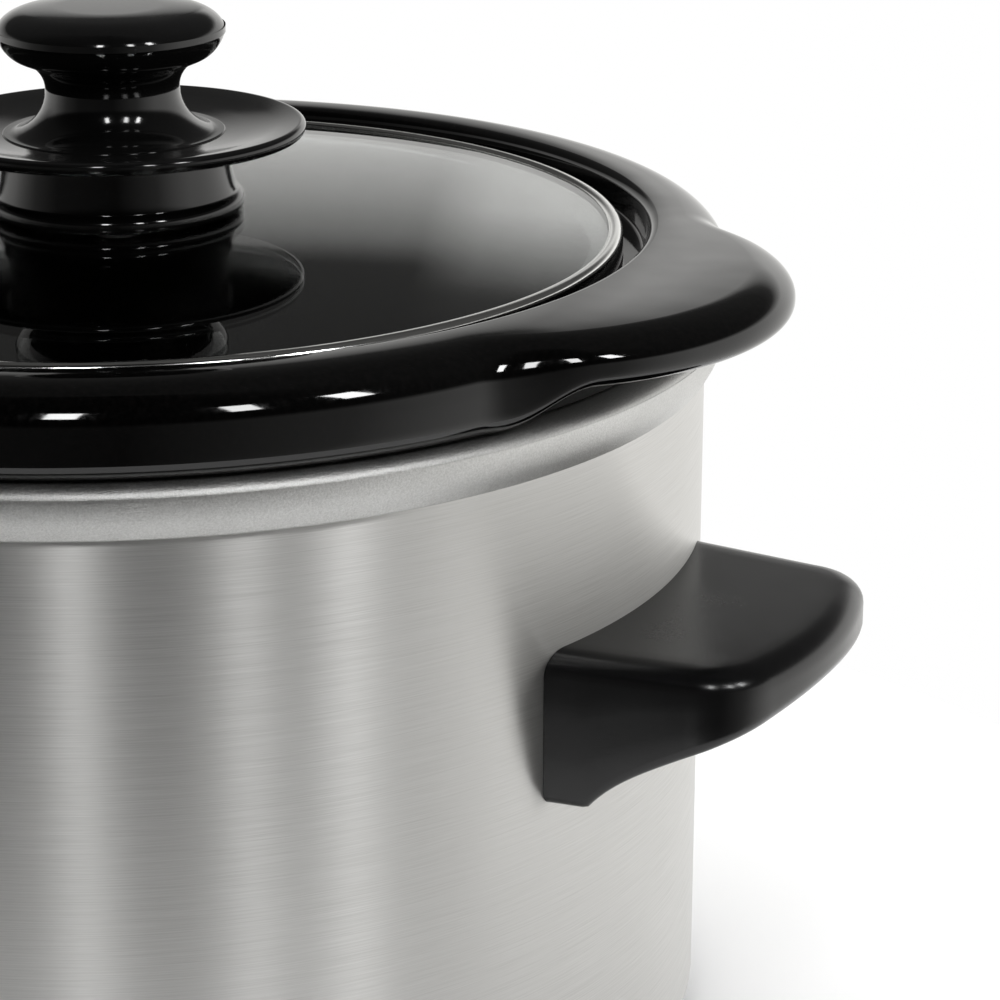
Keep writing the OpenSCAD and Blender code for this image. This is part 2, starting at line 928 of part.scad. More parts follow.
// Finger guard: a shallow dish with a thin rounded edge
module knob_guard() {
    edge = 1.5;
    edge_x = guard_radius - edge;
    color([0.04, 0.04, 0.04])
    difference() {
        rotate_extrude() {
            polygon([[0, guard_z - 1.35], [20, guard_z - 1.35], [edge_x, guard_z + 0.1],
                [edge_x, guard_z + 0.1 + 2 * edge], [30, guard_z + 1.6], [22.5, guard_face],
                [0, guard_face]]);
            translate([edge_x, guard_z + 0.1 + edge])
                circle(edge);
        }
        cylinder(r = screw_hole, h = big);
    }
}

// Grip above the guard: flared foot, waist and a domed top
module knob_grip() {
    flare = 9;
    grip_low = guard_face + 0.05;
    waist = grip_low + flare;
    top_edge = 5;
    groove_radius = 12;
    color([0.04, 0.04, 0.04])
    difference() {
        rotate_extrude() {
            difference() {
                translate([0, grip_low])
                    square([knob_neck_radius + flare - 0.4, flare]);
                translate([knob_neck_radius + flare, waist])
                    circle(flare);
            }
            translate([0, waist - 0.01])
                square([knob_neck_radius, 4]);
            polygon([[0, waist + 3], [knob_neck_radius, waist + 3.9],
                [knob_top_radius, knob_top - top_edge - 3], [knob_top_radius, knob_top - top_edge],
                [knob_top_radius - top_edge, knob_top], [0, knob_top]]);
            translate([knob_top_radius - top_edge, knob_top - top_edge])
                circle(top_edge);
        }
        cylinder(r = knob_screw_radius + 0.05, h = knob_screw_end + 1);
        translate([0, 0, knob_top - 0.8])
            tube(groove_radius + 0.6, groove_radius, 0, 2);
    }
}

module knob_screw() {
    glass_under = glass_top - glass_thickness;
    head_low = glass_under - 4.2;
    slot_width = 1.2;
    slot_length = 6.8;
    color([0.75, 0.75, 0.75]) {
        difference() {
            translate([0, 0, head_low])
                cylinder(r = 5, h = 2.6);
            translate([-slot_length / 2, -slot_width / 2, head_low - 1])
                cube([slot_length, slot_width, 2.2]);
        }
        translate([0, 0, glass_under - 2])
            cylinder(r = knob_screw_radius, h = knob_screw_end - glass_under + 2);
    }
}

module knob_gasket() {
    glass_under = glass_top - glass_thickness;
    color([0.15, 0.15, 0.15])
    tube(9, 2, glass_under - 1.5, glass_under - 0.1);
}

body_wrap();
heating_liner();
base_pan();
feet();
foot_screws();
heat_reflector();
heater_band();
band_clamps();
clamp_screws();
element_terminals();
thermal_fuse();
fuse_clip();
center_stud();
center_washer();
center_nut();
handle_left();
handle_right();
handle_screws();
dial_plate();
rotary_switch();
switch_shaft();
switch_nut();
switch_terminals();
control_knob();
cord_gland();
lead_wires();
crock();
glass_lid();
lid_rim();
knob_foot();
knob_guard();
knob_grip();
knob_screw();
knob_gasket();
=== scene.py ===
"""Looks of the round slow cooker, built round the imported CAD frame. Metres, +Z up."""

import json
import math

import bmesh
import bpy
from mathutils import Matrix, Vector


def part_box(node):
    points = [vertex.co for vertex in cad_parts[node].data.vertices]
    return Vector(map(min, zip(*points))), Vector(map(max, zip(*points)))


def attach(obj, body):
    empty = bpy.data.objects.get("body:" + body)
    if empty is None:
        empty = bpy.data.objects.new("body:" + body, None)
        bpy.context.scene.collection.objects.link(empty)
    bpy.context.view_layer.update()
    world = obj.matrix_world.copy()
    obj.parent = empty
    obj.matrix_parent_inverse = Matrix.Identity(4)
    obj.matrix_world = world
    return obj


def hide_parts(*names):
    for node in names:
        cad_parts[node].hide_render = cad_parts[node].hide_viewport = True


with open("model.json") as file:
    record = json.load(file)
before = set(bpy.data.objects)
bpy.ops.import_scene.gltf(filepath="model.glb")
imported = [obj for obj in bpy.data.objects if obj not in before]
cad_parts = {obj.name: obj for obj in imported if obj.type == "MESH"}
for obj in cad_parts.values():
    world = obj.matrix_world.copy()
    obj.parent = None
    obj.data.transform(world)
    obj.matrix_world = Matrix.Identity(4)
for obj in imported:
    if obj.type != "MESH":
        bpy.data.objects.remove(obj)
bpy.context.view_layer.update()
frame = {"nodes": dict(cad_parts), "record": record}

MM = 0.001
TAU = 2 * math.pi
scene = bpy.context.scene


def size_of(node):
    """Lowest and highest corner of a CAD node, in millimetres."""
    lo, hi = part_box(node)
    return [v / MM for v in lo], [v / MM for v in hi]


# ------------------------------------------------------------------ node helpers

class Shader:
    """A material with its Principled shader and short calls for the nodes around it."""

    def __init__(self, name, color=(0.8, 0.8, 0.8), rough=0.5, metal=0.0, **extra):
        self.mat = bpy.data.materials.new(name)
        self.mat.use_nodes = True
        self.tree = self.mat.node_tree
        self.tree.nodes.clear()
        self.out = self.tree.nodes.new("ShaderNodeOutputMaterial")
        self.bsdf = self.tree.nodes.new("ShaderNodeBsdfPrincipled")
        self.tree.links.new(self.bsdf.outputs[0], self.out.inputs[0])
        self.set("Base Color", (*color, 1))
        self.set("Roughness", rough)
        self.set("Metallic", metal)
        for key, value in extra.items():
            self.set(key.replace("_", " "), value)

    def set(self, socket, value):
        self.bsdf.inputs[socket].default_value = value

    def link(self, source, target):
        self.tree.links.new(source, target)

    def node(self, kind, **values):
        made = self.tree.nodes.new(kind)
        for key, value in values.items():
            setattr(made, key, value)
        return made

    def coords(self, scale=(1, 1, 1)):
        where = self.node("ShaderNodeTexCoord")
        mapping = self.node("ShaderNodeMapping")
        mapping.inputs["Scale"].default_value = scale
        self.link(where.outputs["Object"], mapping.inputs["Vector"])
        return mapping.outputs["Vector"]

    def around(self, radius, along, up):
        """Coordinates that run round the Z axis: arc length times along, height times up."""
        where = self.node("ShaderNodeTexCoord")
        split = self.node("ShaderNodeSeparateXYZ")
        self.link(where.outputs["Object"], split.inputs[0])
        angle = self.math("ARCTAN2", split.outputs["Y"], split.outputs["X"])
        arc = self.math("MULTIPLY", angle, radius * along)
        height = self.math("MULTIPLY", split.outputs["Z"], up)
        join = self.node("ShaderNodeCombineXYZ")
        self.link(arc, join.inputs[0])
        self.link(height, join.inputs[1])
        return join.outputs[0]

    def math(self, operation, a, b):
        made = self.node("ShaderNodeMath", operation=operation)
        for slot, value in enumerate((a, b)):
            if isinstance(value, (int, float)):
                made.inputs[slot].default_value = value
            else:
                self.link(value, made.inputs[slot])
        return made.outputs[0]

    def noise(self, vector, scale, detail=3.0, rough=0.55):
        made = self.node("ShaderNodeTexNoise")
        made.inputs["Scale"].default_value = scale
        made.inputs["Detail"].default_value = detail
        made.inputs["Roughness"].default_value = rough
        self.link(vector, made.inputs["Vector"])
        return made.outputs["Fac"]

    def spread(self, value, low, high, start=0.3, end=0.7):
        """Maps a value from start..end to low..high."""
        made = self.node("ShaderNodeMapRange")
        made.inputs["From Min"].default_value = start
        made.inputs["From Max"].default_value = end
        made.inputs["To Min"].default_value = low
        made.inputs["To Max"].default_value = high
        self.link(value, made.inputs["Value"])
        return made.outputs["Result"]

    def ramp(self, value, stops):
        made = self.node("ShaderNodeValToRGB")
        band = made.color_ramp
        while len(band.elements) < len(stops):
            band.elements.new(0.5)
        for element, (place, color) in zip(band.elements, stops):
            element.position = place
            element.color = (*color, 1)
        self.link(value, made.inputs["Fac"])
        return made.outputs["Color"]

    def bump(self, height, strength, distance):
        made = self.node("ShaderNodeBump")
        made.inputs["Strength"].default_value = strength
        made.inputs["Distance"].default_value = distance
        self.link(height, made.inputs["Height"])
        self.link(made.outputs["Normal"], self.bsdf.inputs["Normal"])

    def drive(self, value, socket):
        self.link(value, self.bsdf.inputs[socket])


def brushed_wrap():
    s = Shader("wrap_steel", (0.7, 0.7, 0.68), 0.4, 1.0, Anisotropic=1.0, Anisotropic_Rotation=0.25)
    hair = s.noise(s.around(0.12, 55, 4600), 1.0, 3, 0.65)
    streak = s.noise(s.around(0.12, 16, 1900), 1.0, 2, 0.5)
    cloud = s.noise(s.coords((14, 14, 7)), 1.0, 3, 0.5)
    lines = s.math("ADD", s.math("MULTIPLY", hair, 0.8), s.math("MULTIPLY", streak, 0.2))
    s.drive(s.ramp(lines, [(0.3, (0.6, 0.596, 0.578)), (0.5, (0.69, 0.686, 0.67)),
                           (0.7, (0.77, 0.766, 0.752))]), "Base Color")
    s.drive(s.math("ADD", s.spread(lines, 0.35, 0.43), s.spread(cloud, -0.015, 0.015)), "Roughness")
    tangent = s.node("ShaderNodeTangent", direction_type="RADIAL", axis="Z")
    s.link(tangent.outputs[0], s.bsdf.inputs["Tangent"])
    s.bump(lines, 0.12, 0.00003)
    return s.mat


def frosted_rim():
    s = Shader("liner_steel", (0.62, 0.62, 0.61), 0.42, 1.0)
    grain = s.noise(s.coords(), 2600, 3, 0.7)
    patch = s.noise(s.coords(), 60, 3, 0.5)
    s.drive(s.ramp(grain, [(0.3, (0.5, 0.5, 0.49)), (0.7, (0.7, 0.7, 0.69))]), "Base Color")
    s.drive(s.math("ADD", s.spread(grain, 0.34, 0.5), s.spread(patch, -0.04, 0.05)), "Roughness")
    s.bump(grain, 0.55, 0.00018)
    return s.mat


def black_glaze():
    s = Shader("crock_glaze", (0.003, 0.003, 0.003), 0.05)
    flow = s.noise(s.coords(), 34, 2, 0.4)
    speck = s.noise(s.coords(), 900, 2, 0.6)
    s.drive(s.ramp(speck, [(0.35, (0.0006, 0.0006, 0.0006)), (0.75, (0.0018, 0.0016, 0.0016))]),
            "Base Color")
    s.drive(s.spread(speck, 0.03, 0.07), "Roughness")
    s.bump(flow, 0.12, 0.0011)
    return s.mat


def lid_glass():
    s = Shader("lid_glass", (0.93, 0.965, 0.95), 0.0, 0.0, Transmission_Weight=1.0, IOR=1.5)
    haze = s.noise(s.coords(), 70, 3, 0.5)
    s.drive(s.spread(haze, 0.0, 0.012), "Roughness")
    s.bump(s.noise(s.coords(), 12, 1, 0.3), 0.04, 0.0004)
    return s.mat


def polished_band():
    s = Shader("lid_steel", (0.8, 0.8, 0.78), 0.14, 1.0)
    lines = s.noise(s.around(0.1, 60, 5000), 1.0, 3, 0.6)
    s.drive(s.ramp(lines, [(0.3, (0.7, 0.7, 0.68)), (0.7, (0.84, 0.84, 0.83))]), "Base Color")
    s.drive(s.spread(lines, 0.09, 0.2), "Roughness")
    s.bump(lines, 0.2, 0.00004)
    return s.mat


def moulded(name, color, rough_low, rough_high, grain_scale, grain_depth, coat=0.0):
    s = Shader(name, color, rough_low, 0.0, Coat_Weight=coat, Coat_Roughness=0.05)
    grain = s.noise(s.coords(), grain_scale, 3, 0.6)
    wear = s.noise(s.coords(), 42, 4, 0.6)
    dark = tuple(c * 0.8 for c in color)
    light = tuple(c * 1.35 + 0.001 for c in color)
    s.drive(s.ramp(wear, [(0.3, dark), (0.75, light)]), "Base Color")
    s.drive(s.math("ADD", s.spread(wear, rough_low, rough_high), s.spread(grain, -0.015, 0.02)),
            "Roughness")
    s.bump(grain, 0.25, grain_depth)
    return s.mat


def plain_metal(name, low, high, rough_low, rough_high, grain_scale=900):
    s = Shader(name, high, rough_low, 1.0)
    grain = s.noise(s.coords(), grain_scale, 3, 0.6)
    stain = s.noise(s.coords(), 90, 3, 0.5)
    s.drive(s.ramp(stain, [(0.3, low), (0.7, high)]), "Base Color")
    s.drive(s.spread(grain, rough_low, rough_high), "Roughness")
    s.bump(grain, 0.3, 0.00005)
    return s.mat


def woven_sleeve():
    s = Shader("heater_mica", (0.6, 0.54, 0.44), 0.85)
    weave = s.node("ShaderNodeTexWave", wave_type="BANDS", bands_direction="DIAGONAL")
    weave.inputs["Scale"].default_value = 260
    weave.inputs["Distortion"].default_value = 1.5
    s.link(s.coords(), weave.inputs["Vector"])
    s.drive(s.ramp(weave.outputs["Fac"], [(0.2, (0.42, 0.37, 0.3)), (0.8, (0.68, 0.62, 0.52))]),
            "Base Color")
    s.bump(weave.outputs["Fac"], 0.6, 0.0003)
    return s.mat


MATERIALS = {
    "wrap_steel": brushed_wrap(),
    "liner_steel": frosted_rim(),
    "crock_glaze": black_glaze(),
    "lid_glass": lid_glass(),
    "lid_steel": polished_band(),
    "knob_plastic": moulded(
        "knob_plastic", (0.003, 0.003, 0.003), 0.06, 0.12, 1500, 0.00002),
    "handle_plastic": moulded(
        "handle_plastic", (0.0025, 0.0025, 0.0027), 0.2, 0.27, 2400, 0.00003),
    "control_plastic": moulded(
        "control_plastic", (0.011, 0.011, 0.011), 0.25, 0.36, 2400, 0.00004),
    "foot_plastic": moulded(
        "foot_plastic", (0.02, 0.02, 0.02), 0.5, 0.65, 1800, 0.00008),
    "gland_rubber": moulded(
        "gland_rubber", (0.018, 0.018, 0.018), 0.55, 0.7, 1600, 0.00008),
    "gasket_rubber": moulded(
        "gasket_rubber", (0.03, 0.03, 0.03), 0.55, 0.7, 1600, 0.00006),
    "lead_insulation": moulded(
        "lead_insulation", (0.35, 0.03, 0.025), 0.45, 0.6, 1200, 0.00004),
    "switch_case": moulded(
        "switch_case", (0.62, 0.58, 0.48), 0.45, 0.6, 1200, 0.00004),
    "base_black": moulded(
        "base_black", (0.018, 0.018, 0.018), 0.38, 0.5, 1400, 0.00006),
    "zinc_steel": plain_metal("zinc_steel", (0.5, 0.5, 0.48), (0.68, 0.68, 0.66), 0.25, 0.4),
    "reflector_alu": plain_metal(
        "reflector_alu", (0.66, 0.66, 0.67), (0.82, 0.82, 0.83), 0.2, 0.35),
    "terminal_brass": plain_metal(
        "terminal_brass", (0.6, 0.46, 0.2), (0.78, 0.62, 0.3), 0.22, 0.36),
    "fuse_case": plain_metal("fuse_case", (0.62, 0.62, 0.6), (0.76, 0.76, 0.74), 0.25, 0.38),
    "heater_mica": woven_sleeve(),
}


# ------------------------------------------------------------------ mesh helpers

def rounded(corners, steps=6):
    """Outline through (r, z, before, after) corners, each eased by an elliptic arc that
    starts the first distance before the corner and ends the second distance after it."""
    made = []
    for i, corner in enumerate(corners):
        here = Vector(corner[:2])
        before = corner[2] if len(corner) > 2 else 0
        after = corner[3] if len(corner) > 3 else before
        if before <= 0:
            made.append(tuple(here))
            continue
        last = Vector(corners[i - 1][:2])
        following = Vector(corners[(i + 1) % len(corners)][:2])
        back = (last - here).normalized() * before
        ahead = (following - here).normalized() * after
        count = steps if max(before, after) < 4 else steps * 2
        for k in range(count + 1):
            t = k / count * math.pi / 2
            made.append(tuple(here + back * (1 - math.sin(t)) + ahead * (1 - math.cos(t))))
    return made


def finish_mesh(name, verts, faces, material, body, replaced, sharp=38):
    """A closed, smooth-shaded piece made from millimetre points."""
    mesh = bpy.data.meshes.new(name)
    mesh.from_pydata([(x * MM, y * MM, z * MM) for x, y, z in verts], [], faces)
    bm = bmesh.new()
    bm.from_mesh(mesh)
    bmesh.ops.remove_doubles(bm, verts=bm.verts, dist=1e-6)
    bmesh.ops.dissolve_degenerate(bm, edges=bm.edges, dist=1e-7)
    bmesh.ops.recalc_face_normals(bm, faces=bm.faces)
    bm.to_mesh(mesh)
    bm.free()
    for face in mesh.polygons:
        face.use_smooth = True
    mesh.set_sharp_from_angle(angle=math.radians(sharp))
    piece = bpy.data.objects.new(name, mesh)
    scene.collection.objects.link(piece)
    mesh.materials.append(MATERIALS[material])
    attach(piece, body)
    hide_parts(*replaced)
    return piece


def turned(name, outline_at, count, material, body, replaced, sharp=38):
    """A piece turned about the Z axis. outline_at(angle) gives its closed outline there."""
    verts, faces = [], []
    rings = [outline_at(TAU * k / count) for k in range(count)]
    size = len(rings[0])
    for k, ring in enumerate(rings):
        a = TAU * k / count
        verts += [(r * math.cos(a), r * math.sin(a), z) for r, z in ring]
    for k in range(count):
        for i in range(size):
            j = (i + 1) % size
            n = (k + 1) % count
            faces.append((k * size + i, n * size + i, n * size + j, k * size + j))
    return finish_mesh(name, verts, faces, material, body, replaced, sharp)


# ------------------------------------------------------------------ body and rim

wrap_lo, wrap_hi = size_of("body_wrap")
liner_lo, liner_hi = size_of("heating_liner")
crock_lo, crock_hi = size_of("crock")
WRAP_R, WRAP_Z0, WRAP_Z1 = wrap_hi[0], wrap_lo[2], wrap_hi[2]
FLANGE_Z = liner_hi[2]
RIM_R = liner_hi[0]
LINER_T = 1
LINER_FLOOR = liner_lo[2] + LINER_T
LINER_R = 103.5
RIM_LOW = FLANGE_Z - 10.6
WRAP_T = 0.8
FINE_COUNT = 384

wrap_outline = rounded([
    (WRAP_R - WRAP_T, WRAP_Z1), (WRAP_R - WRAP_T, WRAP_Z0 + 0.1), (WRAP_R, WRAP_Z0, 0.5),
    (WRAP_R, WRAP_Z1)], 4)
turned("wrap_shell", lambda a: wrap_outline, FINE_COUNT, "wrap_steel", "cooker", ["body_wrap"])

rim_outline = rounded([
    (0, LINER_FLOOR - LINER_T), (LINER_R + LINER_T, LINER_FLOOR - LINER_T, 15),
    (LINER_R + LINER_T, FLANGE_Z - LINER_T, 0.5), (RIM_R - 1.2, FLANGE_Z - LINER_T, 3),
    (RIM_R - 1.1, FLANGE_Z - 4.4, 2.4),
    (WRAP_R + 0.5, RIM_LOW + 1.2, 0.3), (WRAP_R + 0.4, RIM_LOW, 0.3), (WRAP_R + 1.5, RIM_LOW, 0.6),
    (RIM_R, FLANGE_Z - 5.2, 3.2), (RIM_R, FLANGE_Z, 2.6, 3.4), (LINER_R, FLANGE_Z, 1.5),
    (LINER_R, LINER_FLOOR, 14), (0, LINER_FLOOR)], 6)
turned("rolled_rim_liner", lambda a: rim_outline, FINE_COUNT, "liner_steel", "cooker",
       ["heating_liner"])


# ------------------------------------------------------------------ crock

LIP_R = crock_hi[1]
LIP_TOP = crock_hi[2]
SEAT_Z = LIP_TOP - 7
CROCK_Z = crock_lo[2]
EAR_R = 58.0
EAR_C = crock_hi[0] - EAR_R
EAR_BLEND = 5.0
EAR_EASE = 9
LIP_T = 9.4
CROCK_R, CROCK_BORE, CROCK_FLOOR_T = 97.6, 91, 7
WELL_MOUTH_R, LIP_BORE_R = 95, 108.3
CROCK_COUNT = 540


def lip_reach(angle):
    """Outer radius of the crock lip: a circle with two round ears, softly joined."""
    side = abs(math.sin(angle)) * EAR_C
    if side >= EAR_R:
        return LIP_R
    ear = abs(math.cos(angle)) * EAR_C + math.sqrt(EAR_R ** 2 - side ** 2)
    mix = min(1, max(0, 0.5 + 0.5 * (ear - LIP_R) / EAR_BLEND))
    return LIP_R + (ear - LIP_R) * mix + EAR_BLEND * mix * (1 - mix)


def crock_outline(angle):
    """Section of the crock. Its lip gets thinner where it becomes an ear."""
    reach = lip_reach(angle)
    t = min(1, (reach - LIP_R) / EAR_EASE)
    w = t * t * (3 - 2 * t)

    def ease(a, b):
        return a + (b - a) * w

    under = LIP_TOP - LIP_T
    return rounded([
        (0, CROCK_Z + 1), (70, CROCK_Z + 1, 0.4), (70.6, CROCK_Z, 0.4), (CROCK_R, CROCK_Z, 17),
        (101, FLANGE_Z, 0.4), (ease(112, 118.6), FLANGE_Z, 0.8),
        (ease(115, 119), ease(FLANGE_Z, under), ease(0.8, 2.4)),
        (reach, ease(FLANGE_Z, under), ease(5.2, 4.2), ease(5.2, 3.4)),
        (reach, LIP_TOP, ease(8.6, 5.6), 8.8),
        (LIP_BORE_R, LIP_TOP, 1.8), (107.5, SEAT_Z, 0.9), (96.4, SEAT_Z, 1.2),
        (WELL_MOUTH_R, SEAT_Z - 2, 1.2),
        (CROCK_BORE, CROCK_Z + CROCK_FLOOR_T, 16), (0, CROCK_Z + CROCK_FLOOR_T)], 6)


turned("crock_glazed", crock_outline, CROCK_COUNT, "crock_glaze", "crock", ["crock"], sharp=60)


# ------------------------------------------------------------------ lid

glass_hi = size_of("glass_lid")[1]
band_lo, band_hi = size_of("lid_rim")
GLASS_R, GLASS_TOP = glass_hi[0], glass_hi[2]
GLASS_T, GLASS_RISE = 4.0, 4.0
BAND_R, BAND_Z0, BAND_Z1 = band_hi[0], band_lo[2], band_hi[2]
GLASS_EDGE = GLASS_TOP - GLASS_RISE
DOME_R = (GLASS_R ** 2 + GLASS_RISE ** 2) / (2 * GLASS_RISE)
GLASS_DROP = GLASS_T - 0.3
HOLE = 3.0
DOME_STEPS = 26


def dome(r, drop=0.0):
    """A point of the glass at a radius, lowered by the drop."""
    return (r, GLASS_TOP - DOME_R + math.sqrt(DOME_R ** 2 - r * r) - drop)


top_side = [dome(GLASS_R * k / DOME_STEPS) for k in range(1, DOME_STEPS + 1)]
low_side = [dome(GLASS_R * k / DOME_STEPS, GLASS_DROP) for k in range(DOME_STEPS, 0, -1)]
glass_outline = [dome(HOLE, GLASS_DROP), dome(HOLE)] + top_side + low_side
turned("lid_pane", lambda a: glass_outline, 300, "lid_glass", "lid", ["glass_lid"])

BEAD, BAND_T, GLASS_GAP = 2.9, 2.5, 0.05
band_outline = rounded([
    (BAND_R - BEAD, BAND_Z1 - 0.1, 1.0, 1.0), (BAND_R, BAND_Z1, 1.3, 1.3), (BAND_R, BAND_Z0, 0.8),
    (BAND_R - BAND_T, BAND_Z0, 0.4), (BAND_R - BAND_T, GLASS_EDGE - GLASS_T),
    (GLASS_R + GLASS_GAP, GLASS_EDGE - GLASS_T), (GLASS_R + GLASS_GAP, GLASS_EDGE + 0.1),
    (BAND_R - BEAD, GLASS_EDGE + 0.25)], 6)
turned("lid_band", lambda a: band_outline, FINE_COUNT, "lid_steel", "lid", ["lid_rim"])

guard_lo, guard_hi = size_of("knob_guard")
grip_lo, grip_hi = size_of("knob_grip")
foot_lo, foot_hi = size_of("knob_foot")
GUARD_R, GUARD_TOP, GUARD_LOW = guard_hi[0], guard_hi[2], guard_lo[2]
GUARD_Z = GUARD_LOW + 1.35
FOOT_R, FOOT_Z = foot_hi[0], foot_lo[2]
SCREW_R, BORE_R = 1.8, 2.6

foot_outline = rounded([
    (BORE_R, GUARD_LOW - 0.02), (BORE_R, FOOT_Z + 3), (20, FOOT_Z + 3), (20.5, FOOT_Z + 0.02),
    (FOOT_R, FOOT_Z, 1.3), (FOOT_R, FOOT_Z + 3.0, 1.3), (FOOT_R - 1.5, FOOT_Z + 3.4, 0.5),
    (FOOT_R - 2.7, FOOT_Z + 8, 3), (FOOT_R - 3.4, GUARD_LOW + 0.2, 0.3)], 6)
turned("lid_knob_foot", lambda a: foot_outline, 160, "knob_plastic", "lid", ["knob_foot"])

guard_outline = rounded([
    (BORE_R, GUARD_LOW), (21, GUARD_LOW, 3), (GUARD_R, GUARD_Z + 0.25, 1.4, 1.2),
    (GUARD_R, GUARD_TOP, 1.3, 1.5), (30, GUARD_Z + 1.7, 3), (21.5, GUARD_Z + 0.9, 2),
    (BORE_R, GUARD_Z + 0.9)], 6)
turned("lid_knob_guard", lambda a: guard_outline, 200, "knob_plastic", "lid", ["knob_guard"])

GRIP_R, GRIP_TOP, GRIP_LOW = grip_hi[0], grip_hi[2], grip_lo[2]
NECK, FLARE = 13.5, 9
GRIP_CAP_T = 6
grip_outline = rounded([
    (SCREW_R, GRIP_LOW), (NECK + FLARE, GRIP_LOW, 0.2), (NECK + 8.8, GRIP_LOW + 0.3, 0.2)], 3)
grip_outline += [(NECK + FLARE - FLARE * math.cos(t), GRIP_LOW + FLARE - FLARE * math.sin(t))
                 for t in [math.radians(90 - 9 * k) for k in range(1, 11)]]
grip_outline += rounded([
    (NECK, GRIP_LOW + 9.2), (NECK + 0.4, GRIP_LOW + 13, 3), (GRIP_R, GRIP_TOP - 8.6, 4.5),
    (GRIP_R, GRIP_TOP - 1.2, 4.2, 6), (13, GRIP_TOP, 3), (0, GRIP_TOP)], 6)
grip_outline += [(0, GRIP_TOP - GRIP_CAP_T), (SCREW_R, GRIP_TOP - GRIP_CAP_T)]
turned("lid_knob_grip", lambda a: grip_outline, 160, "knob_plastic", "lid", ["knob_grip"])


# ------------------------------------------------------------------ handles

hand_lo, hand_hi = size_of("handle_right")
HAND_X, HAND_TOP, HAND_LOW = hand_hi[0], hand_hi[2], hand_lo[2]
HALF_ROOT, HALF_TIP, TIP_CORNER = 37.4, 34.4, 13.0
TIP_DEPTH = 9.0
TIP_BOW = 3.2
SKIN = 3.2
TOP_ROUND, LOW_ROUND, TOP_SQUASH = 5.4, 2.2, 0.82


def handle_loop(count=26):
    """Outer plan of a handle: root, side, rounded corner, bowed tip, and back, with
    the outward normal at each point."""
    corner_x = HAND_X - TIP_BOW - TIP_CORNER
    pts = []
    start = WRAP_R * 0.95
    for k in range(count):
        f = k / count
        x = start + (corner_x - start) * f
        pts.append((x, -(HALF_ROOT + (HALF_TIP - HALF_ROOT) * (x - start) / (corner_x - start))))
    for k in range(13):
        t = math.radians(-90 + 78 * k / 12)
        pts.append((corner_x + TIP_CORNER * math.cos(t),
                    -(HALF_TIP - TIP_CORNER) + TIP_CORNER * math.sin(t)))
    last_x, last_y = pts[-1]
    for k in range(1, 12):
        f = k / 12
        y = last_y * (1 - f)
        pts.append((HAND_X - (HAND_X - last_x) * (y / last_y) ** 2, y))
    pts.append((HAND_X, 0.0))
    pts += [(x, -y) for x, y in reversed(pts[:-1])]
    normals = []
    for i in range(len(pts)):
        a = Vector(pts[max(0, i - 1)])
        b = Vector(pts[min(len(pts) - 1, i + 1)])
        d = (b - a).normalized()
        normals.append((d.y, -d.x))
    return pts, normals


def handle_bottom(x):
    """Height of the lower edge: deep at the body, thin at the tip, slightly hollow between."""
    knee = WRAP_R + 2.2
    run = HAND_X - knee
    f = min(1, max(0, (x - knee) / run))
    full = HAND_TOP - TIP_DEPTH - HAND_LOW
    quick = 1 - math.exp(-f * run / 5.5)
    return HAND_LOW + 0.2 + full * (0.74 * f + 0.2 * quick + 0.06 * f * f)


def handle_mesh(side, name, node):
    """A carrying handle, hollow below; side is 1 on the right and -1 on the left."""
    pts, normals = handle_loop()
    rings = []

    def ring(inset, height):
        made = []
        for (x, y), (nx, ny) in zip(pts, normals):
            px, py = x - nx * inset, y - ny * inset
            low = handle_bottom(px)
            z = height(px, low)
            near = WRAP_R + 0.06
            if math.hypot(px, py) < near:
                scale = math.sqrt(max(near ** 2 - py ** 2, 0)) / max(px, 1e-6)
                px *= max(scale, 1) if px > 0 else 1
            made.append((side * px, side * py, z))
        rings.append(made)

    for inset in (12, 8):
        ring(inset, lambda x, low: HAND_TOP)
    for k in range(9):
        t = k / 8 * math.pi / 2
        drop = TOP_ROUND * (1 - math.cos(t)) * TOP_SQUASH
        ring(TOP_ROUND * (1 - math.sin(t)), lambda x, low, d=drop: HAND_TOP - d)
    for f in (0.33, 0.66):
        ring(0.0, lambda x, low, f=f:
             (HAND_TOP - TOP_ROUND * TOP_SQUASH) * (1 - f) + (low + LOW_ROUND) * f)
    for k in range(7):
        t = k / 6 * math.pi / 2
        lift = LOW_ROUND * (1 - math.sin(t))
        ring(LOW_ROUND * 0.7 * (1 - math.cos(t)), lambda x, low, d=lift: low + d)
    ring(SKIN - 0.5, lambda x, low: low)
    ring(SKIN, lambda x, low: low + 0.5)
    ring(SKIN + 0.4, lambda x, low: max(HAND_TOP - SKIN - 1.6, low + 0.6))
    for inset in (SKIN + 1.8, 8, 12):
        ring(inset, lambda x, low: max(HAND_TOP - SKIN, low + 0.7))
    verts = [v for r in rings for v in r]
    n = len(rings[0])
    faces = []
    for r in range(len(rings) - 1):
        for i in range(n):
            j = (i + 1) % n
            faces.append((r * n + i, r * n + j, (r + 1) * n + j, (r + 1) * n + i))
    faces.append(tuple(range(n)))
    faces.append(tuple(range((len(rings) - 1) * n, len(rings) * n)))
    return finish_mesh(name, verts, faces, "handle_plastic", "cooker", [node], sharp=50)


handle_mesh(1, "carry_handle_right", "handle_right")
handle_mesh(-1, "carry_handle_left", "handle_left")


# ------------------------------------------------------------------ CAD nodes that stay

slot_of = {s["node"]: s["material_slot"] for s in frame["record"]["subparts"]}
for node, obj in frame["nodes"].items():
    if obj.hide_render:
        continue
    obj.data.materials.clear()
    obj.data.materials.append(MATERIALS[slot_of[node]])


# ------------------------------------------------------------------ stage

